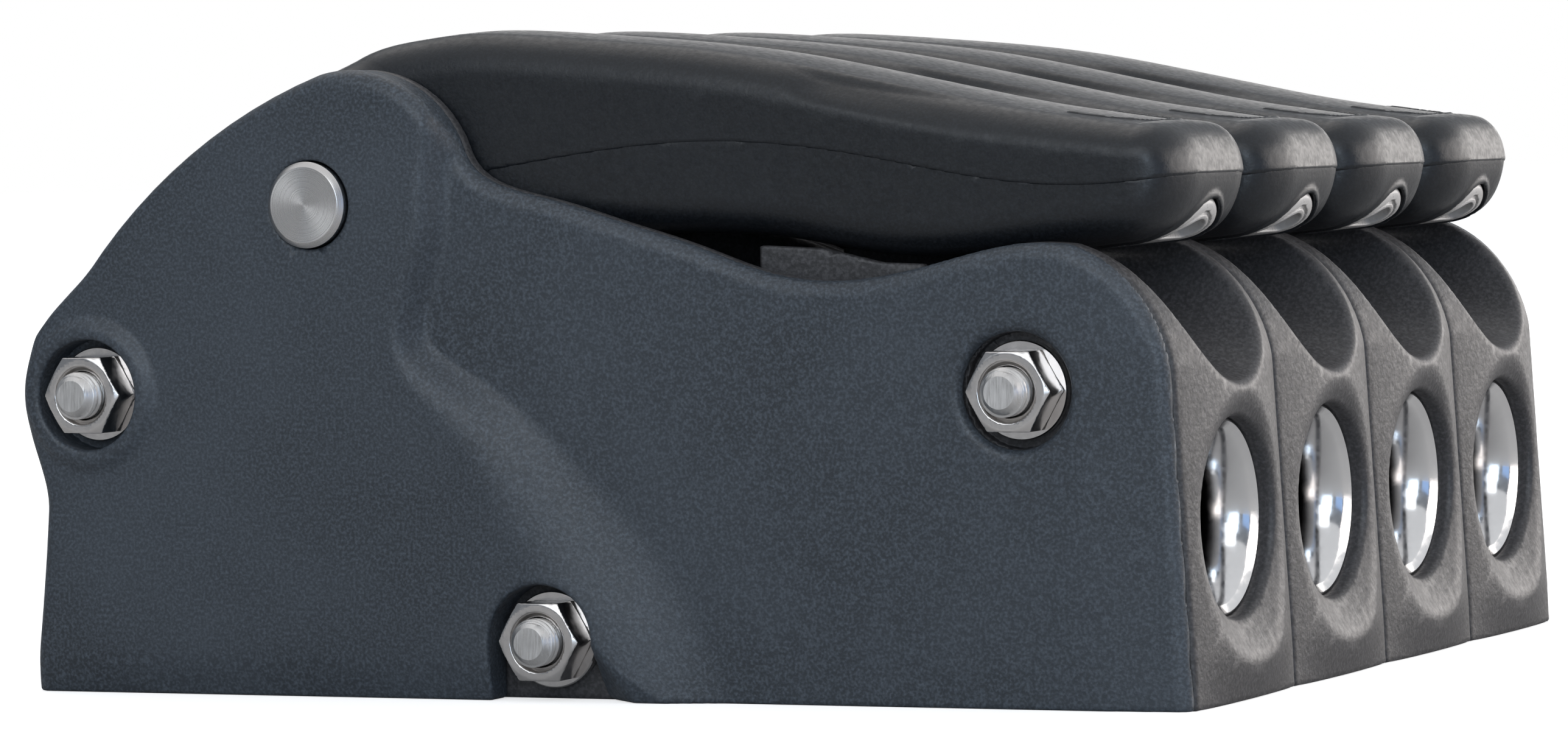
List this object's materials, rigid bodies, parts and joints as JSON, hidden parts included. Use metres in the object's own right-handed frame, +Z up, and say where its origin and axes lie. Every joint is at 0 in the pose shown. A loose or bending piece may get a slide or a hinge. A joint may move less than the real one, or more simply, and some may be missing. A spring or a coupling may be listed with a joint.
{
  "type": "rope clutch",
  "caption": "Gang of side-by-side lever-operated rope clutches in moulded housings, each with a bell-mouthed line exit, a toothed cam and a finger scoop under its lever.",
  "frame": {"origin": "middle of the flat base", "axes": "+X towards the winch end where the lever tips are, +Y across the gang, +Z up from the deck"},
  "size_m": [0.1339, 0.1262, 0.0692],
  "materials": {
    "plate_plastic": "finely grained moulded plastic, dark slate grey",
    "shell_plastic": "grained moulded plastic, charcoal",
    "lever_plastic": "satin moulded plastic, near black",
    "plug_plastic": "smooth pale grey plastic",
    "bush_steel": "polished stainless steel",
    "fastener_steel": "satin stainless steel, thread ends sawn and chamfered",
    "pin_steel": "turned stainless steel",
    "cam_metal": "cast and machined stainless steel, toothed",
    "jaw_metal": "hard anodised, toothed",
    "spring_steel": "drawn spring wire"
  },
  "bodies": {
    "frame": {"side_plate_left": "plate_plastic", "side_plate_right": "plate_plastic", "body_shell_1": "shell_plastic", "front_bush_1": "bush_steel", "rear_bush_1": "bush_steel", "base_jaw_1": "jaw_metal", "body_shell_2": "shell_plastic", "front_bush_2": "bush_steel", "rear_bush_2": "bush_steel", "base_jaw_2": "jaw_metal", "body_shell_3": "shell_plastic", "front_bush_3": "bush_steel", "rear_bush_3": "bush_steel", "base_jaw_3": "jaw_metal", "body_shell_4": "shell_plastic", "front_bush_4": "bush_steel", "rear_bush_4": "bush_steel", "base_jaw_4": "jaw_metal", "pivot_pin": "pin_steel", "tie_rod_front": "fastener_steel", "tie_rod_rear": "fastener_steel", "tie_rod_lower": "fastener_steel", "tie_nuts": "fastener_steel", "tie_washers": "fastener_steel"},
    "lever_1": {"lever_upper_1": "lever_plastic", "lever_lower_1": "lever_plastic", "lever_tip_plug_1": "plug_plastic"},
    "cam_arm_1": {"cam_1": "cam_metal", "cam_spring_1": "spring_steel"},
    "lever_2": {"lever_upper_2": "lever_plastic", "lever_lower_2": "lever_plastic", "lever_tip_plug_2": "plug_plastic"},
    "cam_arm_2": {"cam_2": "cam_metal", "cam_spring_2": "spring_steel"},
    "lever_3": {"lever_upper_3": "lever_plastic", "lever_lower_3": "lever_plastic", "lever_tip_plug_3": "plug_plastic"},
    "cam_arm_3": {"cam_3": "cam_metal", "cam_spring_3": "spring_steel"},
    "lever_4": {"lever_upper_4": "lever_plastic", "lever_lower_4": "lever_plastic", "lever_tip_plug_4": "plug_plastic"},
    "cam_arm_4": {"cam_4": "cam_metal", "cam_spring_4": "spring_steel"}
  },
  "joints": [
    {"name": "lever_1_hinge", "type": "hinge", "parent": "frame", "child": "lever_1", "pos_m": [-0.0314, -0.04125, 0.0514], "axis": [0, -1, 0], "range_deg": [0, 110]},
    {"name": "cam_1_hinge", "type": "hinge", "parent": "frame", "child": "cam_arm_1", "pos_m": [-0.0314, -0.04125, 0.0514], "axis": [0, -1, 0], "range_deg": [0, 33]},
    {"name": "lever_2_hinge", "type": "hinge", "parent": "frame", "child": "lever_2", "pos_m": [-0.0314, -0.01375, 0.0514], "axis": [0, -1, 0], "range_deg": [0, 110]},
    {"name": "cam_2_hinge", "type": "hinge", "parent": "frame", "child": "cam_arm_2", "pos_m": [-0.0314, -0.01375, 0.0514], "axis": [0, -1, 0], "range_deg": [0, 33]},
    {"name": "lever_3_hinge", "type": "hinge", "parent": "frame", "child": "lever_3", "pos_m": [-0.0314, 0.01375, 0.0514], "axis": [0, -1, 0], "range_deg": [0, 110]},
    {"name": "cam_3_hinge", "type": "hinge", "parent": "frame", "child": "cam_arm_3", "pos_m": [-0.0314, 0.01375, 0.0514], "axis": [0, -1, 0], "range_deg": [0, 33]},
    {"name": "lever_4_hinge", "type": "hinge", "parent": "frame", "child": "lever_4", "pos_m": [-0.0314, 0.04125, 0.0514], "axis": [0, -1, 0], "range_deg": [0, 110]},
    {"name": "cam_4_hinge", "type": "hinge", "parent": "frame", "child": "cam_arm_4", "pos_m": [-0.0314, 0.04125, 0.0514], "axis": [0, -1, 0], "range_deg": [0, 33]}
  ],
  "couplings": [
    {"joint": "cam_1_hinge", "follows": "lever_1_hinge", "ratio": 0.3},
    {"joint": "cam_2_hinge", "follows": "lever_2_hinge", "ratio": 0.3},
    {"joint": "cam_3_hinge", "follows": "lever_3_hinge", "ratio": 0.3},
    {"joint": "cam_4_hinge", "follows": "lever_4_hinge", "ratio": 0.3}
  ]
}
